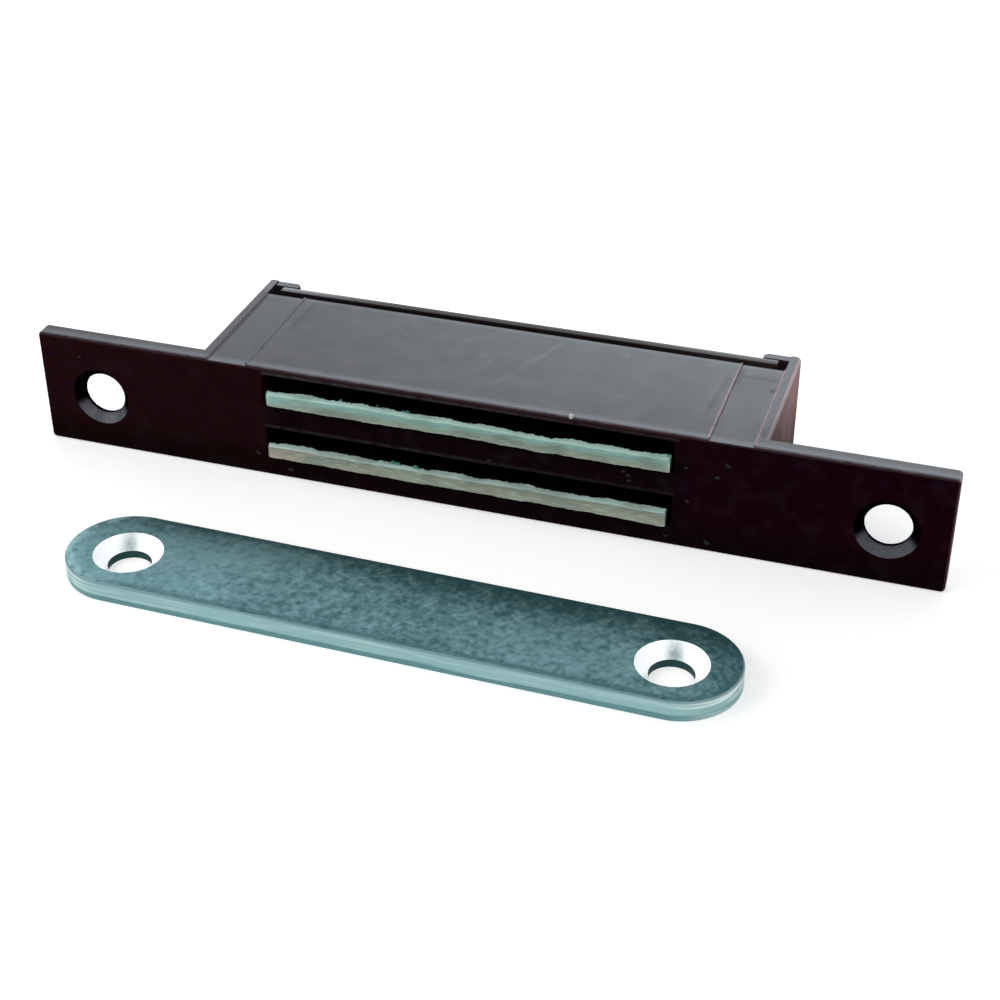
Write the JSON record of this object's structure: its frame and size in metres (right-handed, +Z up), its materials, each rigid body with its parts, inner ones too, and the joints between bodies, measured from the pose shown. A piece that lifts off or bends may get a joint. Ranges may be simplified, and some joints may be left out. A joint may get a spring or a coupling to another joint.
{
  "type": "magnetic catch",
  "caption": "Magnetic cabinet catch: a slotted plastic housing with a floating magnet pack, and a loose steel strike plate.",
  "frame": {"origin": "middle of the faceplate's front face", "axes": "+X along the faceplate, +Y from its front face back into the notch it is let into, +Z up, across the faceplate"},
  "size_m": [0.105, 0.0498, 0.0141],
  "materials": {
    "housing_plastic": "dark brown satin moulding",
    "pole_steel": "worn bright plating",
    "ferrite": "sintered, matt",
    "strike_steel": "worn bright plating"
  },
  "bodies": {
    "catch": {"housing": "housing_plastic", "back_cover": "housing_plastic", "strike_plate": "strike_steel"},
    "magnet_pack": {"magnet": "ferrite", "pole_plate_upper": "pole_steel", "pole_plate_lower": "pole_steel"}
  },
  "joints": [
    {"name": "pack_float", "type": "slide", "parent": "catch", "child": "magnet_pack", "axis": [0, 0, 1], "range_m": [0, 0.0016]}
  ]
}
